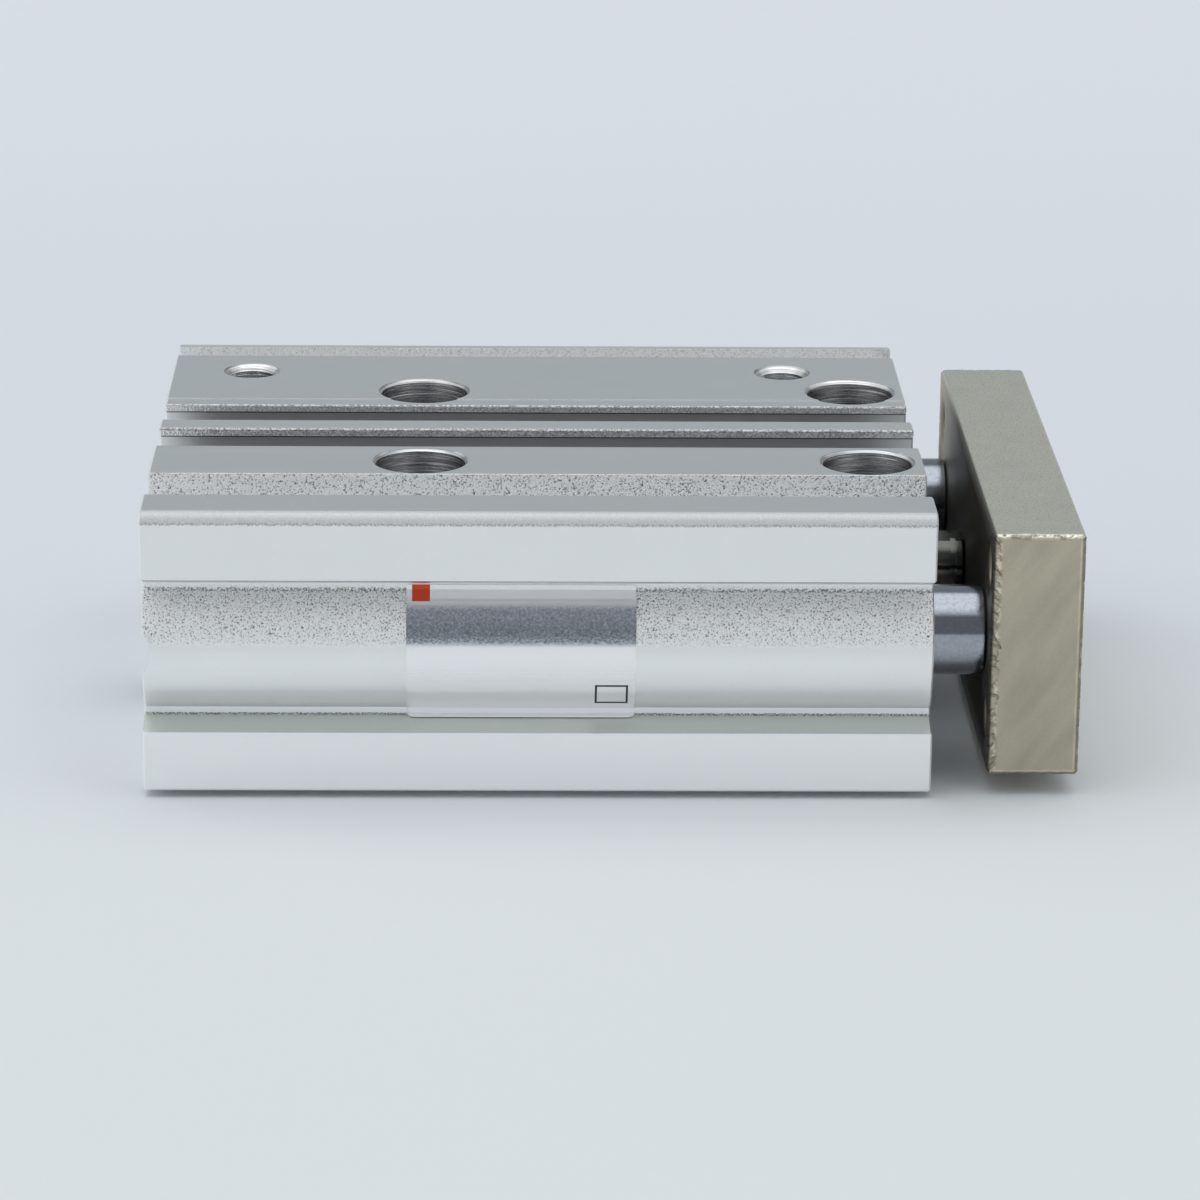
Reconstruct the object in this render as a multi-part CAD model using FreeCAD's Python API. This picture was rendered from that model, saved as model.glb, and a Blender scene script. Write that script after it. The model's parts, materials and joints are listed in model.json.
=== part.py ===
import FreeCAD, Part
import math
import os

from FreeCAD import Vector

# A compact guided pneumatic cylinder, in millimetres. X runs along the stroke, towards the end plate,
# Y across the two guide rods and Z up. The origin is under the middle of the retracted unit.

# Overall sizes
BORE = 12.0
STROKE = 40.0
BODY_LENGTH = 69.0
BODY_WIDTH = 58.0
BODY_HEIGHT = 26.0
PLATE_GAP = 5.0
PLATE_THICK = 8.0
PLATE_WIDTH = 56.0
PLATE_HEIGHT = 22.0
TOTAL_LENGTH = BODY_LENGTH + PLATE_GAP + PLATE_THICK

# Stations along X
HEAD_END = -TOTAL_LENGTH / 2
MOUTH_END = HEAD_END + BODY_LENGTH
PLATE_INNER = MOUTH_END + PLATE_GAP
PLATE_OUTER = PLATE_INNER + PLATE_THICK

# Axes of the bore and of the guide rods
AXIS_Z = BODY_HEIGHT / 2
GUIDE_Y = 20.5
SIDES = {"front": -GUIDE_Y, "back": GUIDE_Y}

# Diameters of the rods and of the bores round them
ROD_D = 6.0
GUIDE_D = 8.0
BUSH_D = 10.0
FELT_D = 11.0
SEAT_D = 13.2
RING_GROOVE_D = 13.9
RUN = 0.03           # radial running clearance
SNUG = 0.02          # radial clearance between parts that stay put

# Mounting holes, ports and locating holes
HOLE_X = (MOUTH_END - 5.0, MOUTH_END - 45.0)
HOLE_Y = 12.0
HOLE_D = 4.3
COUNTERBORE_D = 8.0
COUNTERBORE_DEPTH = 4.5
PORT_X = (HEAD_END + 7.5, MOUTH_END - 11.0)
PORT_Y = 19.0
PORT_D = 4.2
PORT_DEPTH = 4.6
PASSAGE_D = 1.8
PASSAGE_ANGLE = 30.0
PASSAGE_DROP = 1.7   # its start below the top
PASSAGE_LENGTH = 17.0
LOCATING_X = MOUTH_END - 25.0
LOCATING_D = 3.0
LOCATING_SLOT = 3.5
LOCATING_DEPTH = 6.0
M4_TAP_D = 3.3
M5_MOUTH_D = 5.4
END_HOLE_Y = 26.0
END_HOLE_Z = 9.5     # above and below the axis
END_HOLE_DEPTH = 8.0

# Section of the body, as depths in from the long sides and heights above the base
SIDE_Y = BODY_WIDTH / 2
BASE_EDGE_R = 0.4
BASE_RELIEF = 0.6   # height of the relieved strips along the base's long edges
BASE_LAND_Y = 26.0   # half width of the land between them
TOP_EDGE_R = 1.05
BAND_EDGE = 6.95     # half height of the recess between the two flat bands
SLANT = 1.0
RECESS_DEPTH = 2.6
BULGE_R = 8.0
LEDGE_INNER = 5.8
FRONT_GROOVE_INNER = 12.35
FRONT_GROOVE_FLOOR = 21.5
BACK_GROOVE = (24.6, 27.8)
BACK_GROOVE_FLOOR = 24.8
RIM_CHAMFER = 0.3
END_BREAK = 0.15     # chamfer round the outline at both sawn ends

# Switch slots on the top, measured from the centre line
SLOT_MOUTH = (1.45, 7.0)
SLOT_UNDERCUT = 0.5
SLOT_LIP = 0.75
SLOT_FLOOR = 21.5
SLOT_CORNER = 0.8
LIP_CHAMFER = 0.15
STEP_Y = 9.0
STEP_DROP = 0.1

# T-slot in the base
TEE_MOUTH = 2.2
TEE_HEAD = 3.7
TEE_LIP = 2.0
TEE_TOP = 5.7

# Piston and covers, as stations along X
HEAD_SEAT = HEAD_END + 5.6
HEAD_RING = (HEAD_END + 0.8, HEAD_END + 1.8)
PISTON_REAR = HEAD_SEAT + 1.2
PISTON_LENGTH = 10.0
PISTON_FRONT = PISTON_REAR + PISTON_LENGTH
PISTON_NOSE_D = 10.4
NOSE_LENGTH = 1.8
BUMPER_THICK = 1.0
END_CLEARANCE = 0.2
COLLAR_REAR = PISTON_FRONT + STROKE + END_CLEARANCE + BUMPER_THICK
COLLAR_SEAT = COLLAR_REAR + 3.2
COLLAR_FRONT = COLLAR_SEAT + 6.0
COLLAR_RING = (COLLAR_FRONT, COLLAR_FRONT + 1.0)
RIVET_D = 4.0
RIVET_HEAD_D = 5.2
MAGNET_D = 11.4
MAGNET_BORE_D = 8.4
PISTON_SEAL_BORE_D = 8.8
GASKET_GROOVE_D = 11.0
GASKET_GROOVE_WIDTH = 1.6
ROD_SEAL_D = 9.4
RING_INNER_D = 11.2
EAR_D = 2.6
EAR_HOLE_D = 1.2
EAR_Y = 2.6
EAR_Z = 4.5
FLATS_ACROSS = 5.0
FLATS_START = MOUTH_END + 1.7
ROD_GROOVE = (PLATE_INNER - 1.35, PLATE_INNER - 0.85)
ROD_GROOVE_D = 5.2

# Guide bearings, as stations along X
MOUTH_BUSH = (MOUTH_END - 17.5, MOUTH_END - 3.5)
HEAD_BUSH = (HEAD_END + 1.2, HEAD_END + 13.2)
FELT = (MOUTH_END - 3.0, MOUTH_END - 1.2)
HOLDER = (MOUTH_END - 1.2, MOUTH_END - 0.4)
GUIDE_REAR = HEAD_END + 1.5

# Plate details
PLATE_EDGE = 0.25
PLATE_HOLE_Y = 24.0
PLATE_HOLE_Z = 7.0
GUIDE_SCREW = {"d": 4.0, "head_d": 7.0, "head": 4.0, "socket": 3.0, "recess": 4.4, "bite": 8.0}
ROD_SCREW = {"d": 3.0, "head_d": 5.5, "head": 3.0, "socket": 2.5, "recess": 3.4, "bite": 7.0}

# Label film over the bulge of the front side
LABEL_X = (HEAD_END + 23.0, HEAD_END + 43.0)
LABEL_THICK = 0.08


def face(points, place):
    """A flat face from corners, where a third value "via" marks a point that an arc passes through."""
    edges = []
    at = points[0][:2]
    i = 1
    while i < len(points):
        if len(points[i]) == 3:
            end = points[(i + 1) % len(points)][:2]
            edges.append(Part.Arc(place(at), place(points[i][:2]), place(end)).toShape())
            i += 2
        else:
            end = points[i]
            edges.append(Part.makeLine(place(at), place(end)))
            i += 1
        at = end
    if at != points[0][:2]:
        edges.append(Part.makeLine(place(at), place(points[0][:2])))
    return Part.Face(Part.Wire(edges))


def along_x(points, x0, x1):
    """A prism along X from a section given as (y, z)."""
    section = face(points, lambda p: Vector(x0, p[0], p[1]))
    return section.extrude(Vector(x1 - x0, 0, 0))


def turned(points, y=0.0):
    """A turned piece on an axis along X, from its half section given as (x, radius)."""
    section = face(points, lambda p: Vector(p[0], y, AXIS_Z + p[1]))
    return section.revolve(Vector(0, y, AXIS_Z), Vector(1, 0, 0), 360)


def rod_x(x0, x1, diameter, y=0.0, z=AXIS_Z):
    return Part.makeCylinder(diameter / 2, x1 - x0, Vector(x0, y, z), Vector(1, 0, 0))


def rod_z(x, y, z0, z1, diameter):
    return Part.makeCylinder(diameter / 2, z1 - z0, Vector(x, y, z0), Vector(0, 0, 1))


def tube_x(x0, x1, outer, inner, y=0.0):
    return rod_x(x0, x1, outer, y).cut(rod_x(x0, x1, inner, y))


def countersink(at, direction, hole_d, mouth_d):
    """A 45 degree cone with its wide end at a hole's mouth; direction points into the material."""
    depth = (mouth_d - hole_d) / 2
    return Part.makeCone(mouth_d / 2, hole_d / 2, depth, at, direction)


def gasket(x, outer, inner):
    """An O-ring that fills the height between a groove's floor and the wall round it."""
    thick = (outer - inner) / 4
    return Part.makeTorus(inner / 2 + thick, thick - SNUG / 2, Vector(x, 0, AXIS_Z), Vector(1, 0, 0))


def arc_middle(centre, radius, degrees):
    turn = math.radians(degrees)
    return (centre[0] + radius * math.cos(turn), centre[1] + radius * math.sin(turn), "via")


def bulge_half_height():
    """Height above the axis where the bulge's arc meets the recess's wall."""
    reach = SIDE_Y - RECESS_DEPTH - GUIDE_Y
    return math.sqrt(BULGE_R ** 2 - reach ** 2)


def long_side(s):
    """One long side of the section from the base up, on the side where s is -1 or 1."""
    wall = SIDE_Y - RECESS_DEPTH
    bulge = bulge_half_height()
    corner = (s * (SIDE_Y - BASE_EDGE_R), BASE_RELIEF + BASE_EDGE_R)
    return [
        (s * BASE_LAND_Y, 0.0),
        (s * BASE_LAND_Y, BASE_RELIEF),
        (s * (SIDE_Y - BASE_EDGE_R), BASE_RELIEF),
        arc_middle(corner, BASE_EDGE_R, -90 + 45 * s),
        (s * SIDE_Y, BASE_RELIEF + BASE_EDGE_R),
        (s * SIDE_Y, AXIS_Z - BAND_EDGE),
        (s * wall, AXIS_Z - BAND_EDGE + SLANT),
        (s * wall, AXIS_Z - bulge),
        (s * (GUIDE_Y + BULGE_R), AXIS_Z, "via"),
        (s * wall, AXIS_Z + bulge),
        (s * wall, AXIS_Z + BAND_EDGE - SLANT),
        (s * SIDE_Y, AXIS_Z + BAND_EDGE),
    ]


def switch_slot(s):
    """A switch slot's outline from its outer lip to the centre rib, on the side where s is -1 or 1."""
    inner, outer = SLOT_MOUTH
    lip = BODY_HEIGHT - SLOT_LIP
    return [
        (s * STEP_Y, BODY_HEIGHT),
        (s * STEP_Y, BODY_HEIGHT - STEP_DROP),
        (s * (outer + LIP_CHAMFER), BODY_HEIGHT - STEP_DROP),
        (s * outer, BODY_HEIGHT - STEP_DROP - LIP_CHAMFER),
        (s * outer, lip),
        (s * (outer + SLOT_UNDERCUT), lip),
        (s * (outer + SLOT_UNDERCUT), SLOT_FLOOR + SLOT_CORNER),
        (s * (outer + SLOT_UNDERCUT - SLOT_CORNER), SLOT_FLOOR),
        (s * (inner - SLOT_UNDERCUT + SLOT_CORNER), SLOT_FLOOR),
        (s * (inner - SLOT_UNDERCUT), SLOT_FLOOR + SLOT_CORNER),
        (s * (inner - SLOT_UNDERCUT), lip),
        (s * inner, lip),
        (s * inner, BODY_HEIGHT - LIP_CHAMFER),
        (s * (inner - LIP_CHAMFER), BODY_HEIGHT),
    ]


def tee_half(s):
    return [
        (s * TEE_MOUTH, 0.0),
        (s * TEE_MOUTH, TEE_LIP),
        (s * TEE_HEAD, TEE_LIP),
        (s * TEE_HEAD, TEE_TOP),
    ]


def body_section():
    """The extrusion's outline, round from the front base edge: base, back side, top, front side."""
    front_corner = (-SIDE_Y + TOP_EDGE_R, BODY_HEIGHT - TOP_EDGE_R)
    base = tee_half(-1) + tee_half(1)[::-1]
    back_top = [
        (SIDE_Y, BODY_HEIGHT - RIM_CHAMFER),
        (SIDE_Y - RIM_CHAMFER, BODY_HEIGHT),
        (BACK_GROOVE[1], BODY_HEIGHT),
        (BACK_GROOVE[1], BACK_GROOVE_FLOOR),
        (BACK_GROOVE[0], BACK_GROOVE_FLOOR),
        (BACK_GROOVE[0], BODY_HEIGHT),
    ]
    front_top = [
        (-SIDE_Y + FRONT_GROOVE_INNER, BODY_HEIGHT),
        (-SIDE_Y + FRONT_GROOVE_INNER, FRONT_GROOVE_FLOOR),
        (-SIDE_Y + LEDGE_INNER, FRONT_GROOVE_FLOOR),
        (-SIDE_Y + LEDGE_INNER, BODY_HEIGHT),
        (-SIDE_Y + TOP_EDGE_R, BODY_HEIGHT),
        arc_middle(front_corner, TOP_EDGE_R, 135),
        (-SIDE_Y, BODY_HEIGHT - TOP_EDGE_R),
    ]
    slots = switch_slot(1) + switch_slot(-1)[::-1]
    front = long_side(-1)[::-1]
    return front[-1:] + base + long_side(1) + back_top + slots + front_top + front[:-1]


def mounting_holes():
    """Through holes, counterbored from the top and tapped from the base."""
    cuts = []
    floor = BODY_HEIGHT - COUNTERBORE_DEPTH
    for x in HOLE_X:
        for y in (-HOLE_Y, HOLE_Y):
            cuts.append(rod_z(x, y, 0, BODY_HEIGHT, HOLE_D))
            cuts.append(rod_z(x, y, floor, BODY_HEIGHT, COUNTERBORE_D))
            cuts.append(countersink(Vector(x, y, BODY_HEIGHT), Vector(0, 0, -1), COUNTERBORE_D, 8.6))
            cuts.append(countersink(Vector(x, y, 0), Vector(0, 0, 1), HOLE_D, M5_MOUTH_D))
    return cuts


def air_ports():
    """Threaded ports on the top, each with a sloping passage down to the bore."""
    cuts = []
    slope = math.radians(PASSAGE_ANGLE)
    for x in PORT_X:
        top = Vector(x, PORT_Y, BODY_HEIGHT)
        cuts.append(rod_z(x, PORT_Y, BODY_HEIGHT - PORT_DEPTH, BODY_HEIGHT, PORT_D))
        cuts.append(countersink(top, Vector(0, 0, -1), PORT_D, M5_MOUTH_D))
        start = Vector(x, PORT_Y - PORT_D / 2 + 1.0, BODY_HEIGHT - PASSAGE_DROP)
        way = Vector(0, -math.cos(slope), -math.sin(slope))
        cuts.append(Part.makeCylinder(PASSAGE_D / 2, PASSAGE_LENGTH, start, way))
    return cuts


def locating_holes():
    """A round hole and a slotted one, for pins in the base."""
    reach = (LOCATING_SLOT - LOCATING_D) / 2
    slot = rod_z(LOCATING_X - reach, HOLE_Y, 0, LOCATING_DEPTH, LOCATING_D)
    slot = slot.fuse(rod_z(LOCATING_X + reach, HOLE_Y, 0, LOCATING_DEPTH, LOCATING_D))
    corner = Vector(LOCATING_X - reach, HOLE_Y - LOCATING_D / 2, 0)
    slot = slot.fuse(Part.makeBox(2 * reach, LOCATING_D, LOCATING_DEPTH, corner))
    return [rod_z(LOCATING_X, -HOLE_Y, 0, LOCATING_DEPTH, LOCATING_D), slot]


def bores():
    """The piston's bore with its seats and ring grooves, and the two guide bores."""
    cuts = [
        rod_x(HEAD_END, MOUTH_END, BORE),
        rod_x(HEAD_END, HEAD_SEAT, SEAT_D),
        rod_x(COLLAR_SEAT, MOUTH_END, SEAT_D),
        rod_x(HEAD_RING[0], HEAD_RING[1], RING_GROOVE_D),
        rod_x(COLLAR_RING[0], COLLAR_RING[1], RING_GROOVE_D),
        countersink(Vector(HEAD_END, 0, AXIS_Z), Vector(1, 0, 0), SEAT_D, SEAT_D + 0.8),
        countersink(Vector(MOUTH_END, 0, AXIS_Z), Vector(-1, 0, 0), SEAT_D, SEAT_D + 0.8),
    ]
    for y in SIDES.values():
        cuts.append(rod_x(HEAD_END, MOUTH_END, GUIDE_D + 0.6, y))
        cuts.append(rod_x(HEAD_END, HEAD_BUSH[1], BUSH_D, y))
        cuts.append(rod_x(MOUTH_BUSH[0], MOUTH_END, BUSH_D, y))
        cuts.append(rod_x(FELT[0], MOUTH_END, FELT_D, y))
        cuts.append(countersink(Vector(HEAD_END, y, AXIS_Z), Vector(1, 0, 0), BUSH_D, BUSH_D + 0.8))
    return cuts


def end_holes():
    """Tapped holes in the head end, and the round bites that vent the guide bores' ends."""
    cuts = []
    for y in (-END_HOLE_Y, END_HOLE_Y):
        for z in (AXIS_Z - END_HOLE_Z, AXIS_Z + END_HOLE_Z):
            cuts.append(rod_x(HEAD_END, HEAD_END + END_HOLE_DEPTH, M4_TAP_D, y, z))
            cuts.append(countersink(Vector(HEAD_END, y, z), Vector(1, 0, 0), M4_TAP_D, 4.2))
    bite = Vector(HEAD_END - 1.9, -SIDE_Y, AXIS_Z)
    cuts.append(Part.makeCylinder(2.7, SIDE_Y - GUIDE_Y, bite, Vector(0, 1, 0)))
    bite.y = GUIDE_Y
    cuts.append(Part.makeCylinder(2.7, SIDE_Y - GUIDE_Y, bite, Vector(0, 1, 0)))
    return cuts


def extrusion():
    """The sawn length of extrusion, with the outline's sharp edge broken at both ends."""
    blank = along_x(body_section(), HEAD_END, MOUTH_END)
    rims = [e for e in blank.Edges if e.BoundBox.XLength < 0.001]
    return blank.makeChamfer(END_BREAK, rims)


def cylinder_body():
    body = extrusion()
    return body.cut(mounting_holes() + air_ports() + locating_holes() + bores() + end_holes())


def rod_collar():
    """The cover that guides the rod, with a nose that lets air past it, a seal groove and a gasket groove."""
    nose = PISTON_NOSE_D / 2
    inner = ROD_D / 2 + RUN
    collar = turned([
        (COLLAR_REAR, inner),
        (COLLAR_REAR, nose),
        (COLLAR_REAR + 1.2, nose),
        (COLLAR_REAR + 1.2, BORE / 2 - SNUG),
        (COLLAR_SEAT, BORE / 2 - SNUG),
        (COLLAR_SEAT, SEAT_D / 2 - SNUG),
        (COLLAR_FRONT, SEAT_D / 2 - SNUG),
        (COLLAR_FRONT, inner),
    ])
    groove_x = COLLAR_SEAT + 1.2
    groove = tube_x(groove_x, groove_x + GASKET_GROOVE_WIDTH, SEAT_D + 1, GASKET_GROOVE_D)
    pocket = rod_x(COLLAR_FRONT - 2.6, COLLAR_FRONT - 0.6, ROD_SEAL_D)
    return collar.cut([groove, pocket])


def rod_seal():
    """A U-shaped ring, open towards the pressure side."""
    rear = COLLAR_FRONT - 2.6 + SNUG
    front = COLLAR_FRONT - 0.6 - SNUG
    inner = ROD_D / 2 + RUN
    outer = ROD_SEAL_D / 2 - SNUG
    middle = (inner + outer) / 2
    return turned([
        (front, inner),
        (rear, inner),
        (rear, inner + 0.4),
        (rear + 1.1, middle),
        (rear, outer - 0.4),
        (rear, outer),
        (front, outer),
    ])


def collar_gasket():
    return gasket(COLLAR_SEAT + 1.2 + GASKET_GROOVE_WIDTH / 2, SEAT_D, GASKET_GROOVE_D)


def retaining_ring(station, opening_down):
    """A spring ring with two plier ears either side of its gap."""
    x0 = station[0] + SNUG
    x1 = station[1] - SNUG
    ring = tube_x(x0, x1, RING_GROOVE_D - 2 * SNUG, RING_INNER_D)
    s = -1 if opening_down else 1
    z = AXIS_Z + s * EAR_Z
    ring = ring.cut(Part.makeBox(x1 - x0, 4.0, 4.0, Vector(x0, -2.0, z + s * 1.5 - 2.0)))
    for y in (-EAR_Y, EAR_Y):
        ring = ring.fuse(rod_x(x0, x1, EAR_D, y, z))
        ring = ring.cut(rod_x(x0, x1, EAR_HOLE_D, y, z))
    return ring.removeSplitter()


def collar_bumper():
    return tube_x(COLLAR_REAR - BUMPER_THICK, COLLAR_REAR, 9.4, ROD_D + 0.6)


def head_cover():
    """A plug with a shallow dish in its outer face and a gasket groove."""
    outer = SEAT_D / 2 - SNUG
    cover = rod_x(HEAD_RING[1], HEAD_SEAT, 2 * outer)
    groove_x = HEAD_RING[1] + 1.0
    groove = tube_x(groove_x, groove_x + GASKET_GROOVE_WIDTH, SEAT_D + 1, GASKET_GROOVE_D)
    dish = rod_x(HEAD_RING[1], HEAD_RING[1] + 0.8, 8.0)
    return cover.cut([groove, dish])


def head_gasket():
    return gasket(HEAD_RING[1] + 1.0 + GASKET_GROOVE_WIDTH / 2, SEAT_D, GASKET_GROOVE_D)


def head_bumper():
    return rod_x(HEAD_SEAT, HEAD_SEAT + BUMPER_THICK, 9.4)


def guide_bush(station, y):
    """A plain bush with small lead-in chamfers at both ends of its bore."""
    x0, x1 = station
    inner = GUIDE_D / 2 + 0.025
    outer = BUSH_D / 2
    return turned([
        (x0, inner + 0.3),
        (x0, outer),
        (x1, outer),
        (x1, inner + 0.3),
        (x1 - 0.3, inner),
        (x0 + 0.3, inner),
    ], y)


def oil_felt(y):
    return tube_x(FELT[0], FELT[1], FELT_D, GUIDE_D + 0.1, y)


def felt_holder(y):
    return tube_x(HOLDER[0], HOLDER[1], FELT_D, GUIDE_D + 0.8, y)


def end_plate():
    """The plate, with broken edges, recesses for three screws and four tapped holes."""
    corner = Vector(PLATE_INNER, -PLATE_WIDTH / 2, AXIS_Z - PLATE_HEIGHT / 2)
    plate = Part.makeBox(PLATE_THICK, PLATE_WIDTH, PLATE_HEIGHT, corner)
    plate = plate.makeChamfer(PLATE_EDGE, plate.Edges)
    cuts = []
    seats = [(y, GUIDE_SCREW) for y in SIDES.values()] + [(0.0, ROD_SCREW)]
    for y, screw in seats:
        recess_d = screw["head_d"] + 0.6
        cuts.append(rod_x(PLATE_INNER, PLATE_OUTER, screw["d"] + 0.3, y))
        cuts.append(rod_x(PLATE_OUTER - screw["recess"], PLATE_OUTER, recess_d, y))
        mouth = Vector(PLATE_OUTER, y, AXIS_Z)
        cuts.append(countersink(mouth, Vector(-1, 0, 0), recess_d, recess_d + 0.6))
    for y in (-PLATE_HOLE_Y, PLATE_HOLE_Y):
        for z in (AXIS_Z - PLATE_HOLE_Z, AXIS_Z + PLATE_HOLE_Z):
            cuts.append(rod_x(PLATE_INNER, PLATE_OUTER, M4_TAP_D, y, z))
            cuts.append(countersink(Vector(PLATE_INNER, y, z), Vector(1, 0, 0), M4_TAP_D, 4.3))
            cuts.append(countersink(Vector(PLATE_OUTER, y, z), Vector(-1, 0, 0), M4_TAP_D, 4.3))
    return plate.cut(cuts)


def cap_screw(screw, y):
    """A socket head screw, sitting in the plate's recess and pointing towards the body."""
    seat = PLATE_OUTER - screw["recess"]
    top = seat + screw["head"]
    head_r = screw["head_d"] / 2
    shank_r = screw["d"] / 2
    tip = PLATE_INNER - screw["bite"]
    shape = turned([
        (tip, 0.0),
        (tip, shank_r - 0.4),
        (tip + 0.4, shank_r),
        (seat, shank_r),
        (seat, head_r),
        (top - 0.3, head_r),
        (top, head_r - 0.3),
        (top, 0.0),
    ], y)
    across = screw["socket"] / math.sqrt(3)
    corners = []
    for i in range(7):
        turn = math.radians(60 * i)
        corners.append(Vector(top, y + across * math.cos(turn), AXIS_Z + across * math.sin(turn)))
    socket = Part.Face(Part.makePolygon(corners)).extrude(Vector(-0.55 * screw["head"], 0, 0))
    return shape.cut(socket)


def guide_rod(y):
    """A guide rod with chamfered ends, tapped for its screw at the plate end."""
    r = GUIDE_D / 2
    rod = turned([
        (GUIDE_REAR, 0.0),
        (GUIDE_REAR, r - 0.8),
        (GUIDE_REAR + 0.8, r),
        (PLATE_INNER - 0.25, r),
        (PLATE_INNER, r - 0.25),
        (PLATE_INNER, 0.0),
    ], y)
    tapped = rod_x(PLATE_INNER - GUIDE_SCREW["bite"] - 1.5, PLATE_INNER, GUIDE_SCREW["d"] + 0.06, y)
    return rod.cut(tapped)


def piston_rod():
    """The rod, riveted into the piston, with spanner flats, a narrow groove and a tapped end."""
    r = ROD_D / 2
    shoulder = PISTON_FRONT - 4.0
    rivet_r = RIVET_D / 2 - SNUG
    rear = PISTON_REAR + 0.1
    rod = turned([
        (rear, 0.0),
        (rear, RIVET_HEAD_D / 2 - SNUG),
        (rear + 0.8, RIVET_HEAD_D / 2 - SNUG),
        (rear + 0.8, rivet_r),
        (shoulder, rivet_r),
        (shoulder, r),
        (PLATE_INNER - 0.3, r),
        (PLATE_INNER, r - 0.3),
        (PLATE_INNER, 0.0),
    ])
    cuts = [
        rod_x(PLATE_INNER - ROD_SCREW["bite"] - 1.5, PLATE_INNER, ROD_SCREW["d"] + 0.06),
        tube_x(ROD_GROOVE[0], ROD_GROOVE[1], ROD_D + 1, ROD_GROOVE_D),
    ]
    for s in (-1, 1):
        low = FLATS_ACROSS / 2 if s > 0 else -FLATS_ACROSS / 2 - 1.0
        corner = Vector(FLATS_START, -r, AXIS_Z + low)
        cuts.append(Part.makeBox(PLATE_INNER - FLATS_START, 2 * r, 1.0, corner))
    return rod.cut(cuts)


def seal_station():
    return PISTON_REAR + 2.6, PISTON_REAR + 4.4


def magnet_station():
    return PISTON_REAR + 5.6, PISTON_REAR + 7.6


def piston():
    """The piston, with a nose at its rear and grooves for the seal and the magnet."""
    r = BORE / 2 - RUN
    shoulder = PISTON_FRONT - 4.0
    shape = turned([
        (PISTON_REAR, RIVET_HEAD_D / 2),
        (PISTON_REAR, PISTON_NOSE_D / 2),
        (PISTON_REAR + NOSE_LENGTH, PISTON_NOSE_D / 2),
        (PISTON_REAR + NOSE_LENGTH, r),
        (PISTON_FRONT - 0.4, r),
        (PISTON_FRONT, r - 0.4),
        (PISTON_FRONT, ROD_D / 2 + SNUG),
        (shoulder, ROD_D / 2 + SNUG),
        (shoulder, RIVET_D / 2),
        (PISTON_REAR + 0.9, RIVET_D / 2),
        (PISTON_REAR + 0.9, RIVET_HEAD_D / 2),
    ])
    s0, s1 = seal_station()
    m0, m1 = magnet_station()
    seal_groove = tube_x(s0, s1, BORE + 1, PISTON_SEAL_BORE_D)
    magnet_groove = tube_x(m0, m1, BORE + 1, MAGNET_BORE_D)
    return shape.cut([seal_groove, magnet_groove])


def piston_seal():
    """A ring with two lips and a shallow groove between them."""
    x0, x1 = seal_station()
    x0 += SNUG
    x1 -= SNUG
    inner = PISTON_SEAL_BORE_D / 2 + SNUG
    outer = BORE / 2 - 0.015
    return turned([
        (x0, inner),
        (x0, outer - 0.3),
        (x0 + 0.3, outer),
        (x0 + 0.6, outer),
        ((x0 + x1) / 2, outer - 0.4),
        (x1 - 0.6, outer),
        (x1 - 0.3, outer),
        (x1, outer - 0.3),
        (x1, inner),
    ])


def piston_magnet():
    x0, x1 = magnet_station()
    return tube_x(x0 + SNUG, x1 - SNUG, MAGNET_D, MAGNET_BORE_D + 2 * SNUG)


def nameplate_label():
    """A thin film that follows the recess's wall, the bulge and the start of the lower slant."""
    wall = -SIDE_Y + RECESS_DEPTH
    skin = wall - LABEL_THICK
    bulge = bulge_half_height()
    outer_r = BULGE_R + LABEL_THICK
    outer_half = math.sqrt(outer_r ** 2 - (-GUIDE_Y - skin) ** 2)
    top = AXIS_Z + BAND_EDGE - SLANT - 0.1
    low = AXIS_Z - BAND_EDGE + SLANT
    slant = 0.65
    fall = slant * SLANT / RECESS_DEPTH
    lift = LABEL_THICK * math.hypot(1.0, SLANT / RECESS_DEPTH)
    film = along_x([
        (wall, top),
        (skin, top),
        (skin, AXIS_Z + outer_half),
        (-GUIDE_Y - outer_r, AXIS_Z, "via"),
        (skin, AXIS_Z - outer_half),
        (skin, low + lift - LABEL_THICK * SLANT / RECESS_DEPTH),
        (wall - slant, low - fall + lift),
        (wall - slant, low - fall),
        (wall, low),
        (wall, AXIS_Z - bulge),
        (-GUIDE_Y - BULGE_R, AXIS_Z, "via"),
        (wall, AXIS_Z + bulge),
    ], LABEL_X[0], LABEL_X[1])
    return film


def nodes():
    made = {
        "cylinder_body": cylinder_body(),
        "rod_collar": rod_collar(),
        "rod_seal": rod_seal(),
        "collar_gasket": collar_gasket(),
        "collar_retaining_ring": retaining_ring(COLLAR_RING, True),
        "collar_bumper": collar_bumper(),
        "head_cover": head_cover(),
        "head_cover_gasket": head_gasket(),
        "head_retaining_ring": retaining_ring(HEAD_RING, False),
        "head_bumper": head_bumper(),
        "nameplate_label": nameplate_label(),
        "end_plate": end_plate(),
        "piston_rod": piston_rod(),
        "piston": piston(),
        "piston_seal": piston_seal(),
        "piston_magnet": piston_magnet(),
        "piston_rod_screw": cap_screw(ROD_SCREW, 0.0),
        "guide_rod_screws": Part.makeCompound([cap_screw(GUIDE_SCREW, y) for y in SIDES.values()]),
    }
    for side, y in SIDES.items():
        made["plate_end_bush_" + side] = guide_bush(MOUTH_BUSH, y)
        made["head_end_bush_" + side] = guide_bush(HEAD_BUSH, y)
        made["oil_felt_" + side] = oil_felt(y)
        made["felt_holder_" + side] = felt_holder(y)
        made["guide_rod_" + side] = guide_rod(y)
    return made


os.makedirs("parts", exist_ok=True)
for name, shape in nodes().items():
    shape.exportStep("parts/" + name + ".step")
    print(name, len(shape.Solids), "solids", round(shape.Volume, 2), "mm3", shape.isValid())
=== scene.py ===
import json
import math

import bmesh
import bpy
from mathutils import Matrix, Vector, noise


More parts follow.
